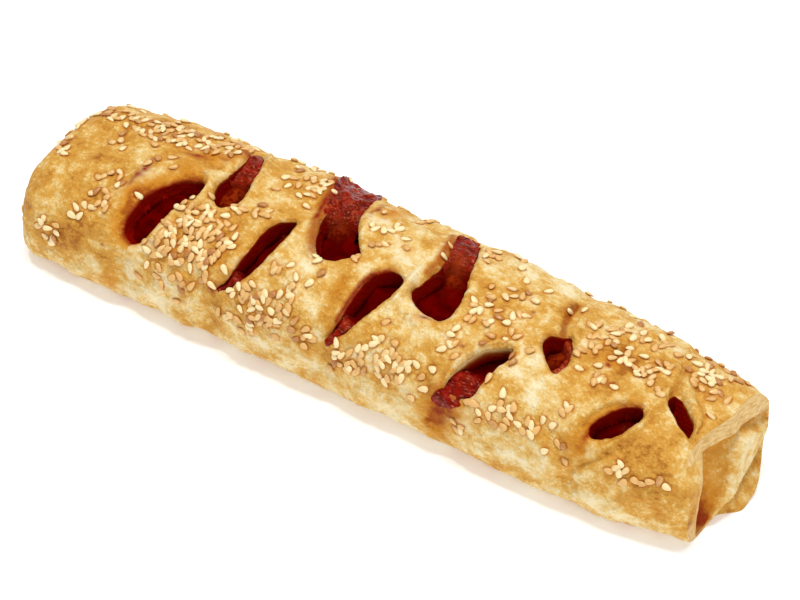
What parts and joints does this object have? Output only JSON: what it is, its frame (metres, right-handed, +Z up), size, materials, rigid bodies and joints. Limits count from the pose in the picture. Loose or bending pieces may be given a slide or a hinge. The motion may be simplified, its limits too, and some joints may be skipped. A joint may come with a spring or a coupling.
{
  "type": "sausage roll",
  "caption": "Long baked puff-pastry roll with two staggered rows of open slits over a dark red filling, one rounded end and one folded end.",
  "frame": {"origin": "middle of the base the roll lies on", "axes": "+X along the roll towards the folded end, -Y the front with the lower row of slits, +Z up"},
  "size_m": [0.224, 0.0586, 0.0359],
  "materials": {
    "crust": "baked puff pastry with a thin egg-wash sheen",
    "filling": "dark red sausage filling in glossy tomato sauce",
    "sesame": "toasted hulled sesame seeds"
  },
  "bodies": {
    "root": {"crust": "crust", "filling": "filling"}
  },
  "joints": []
}
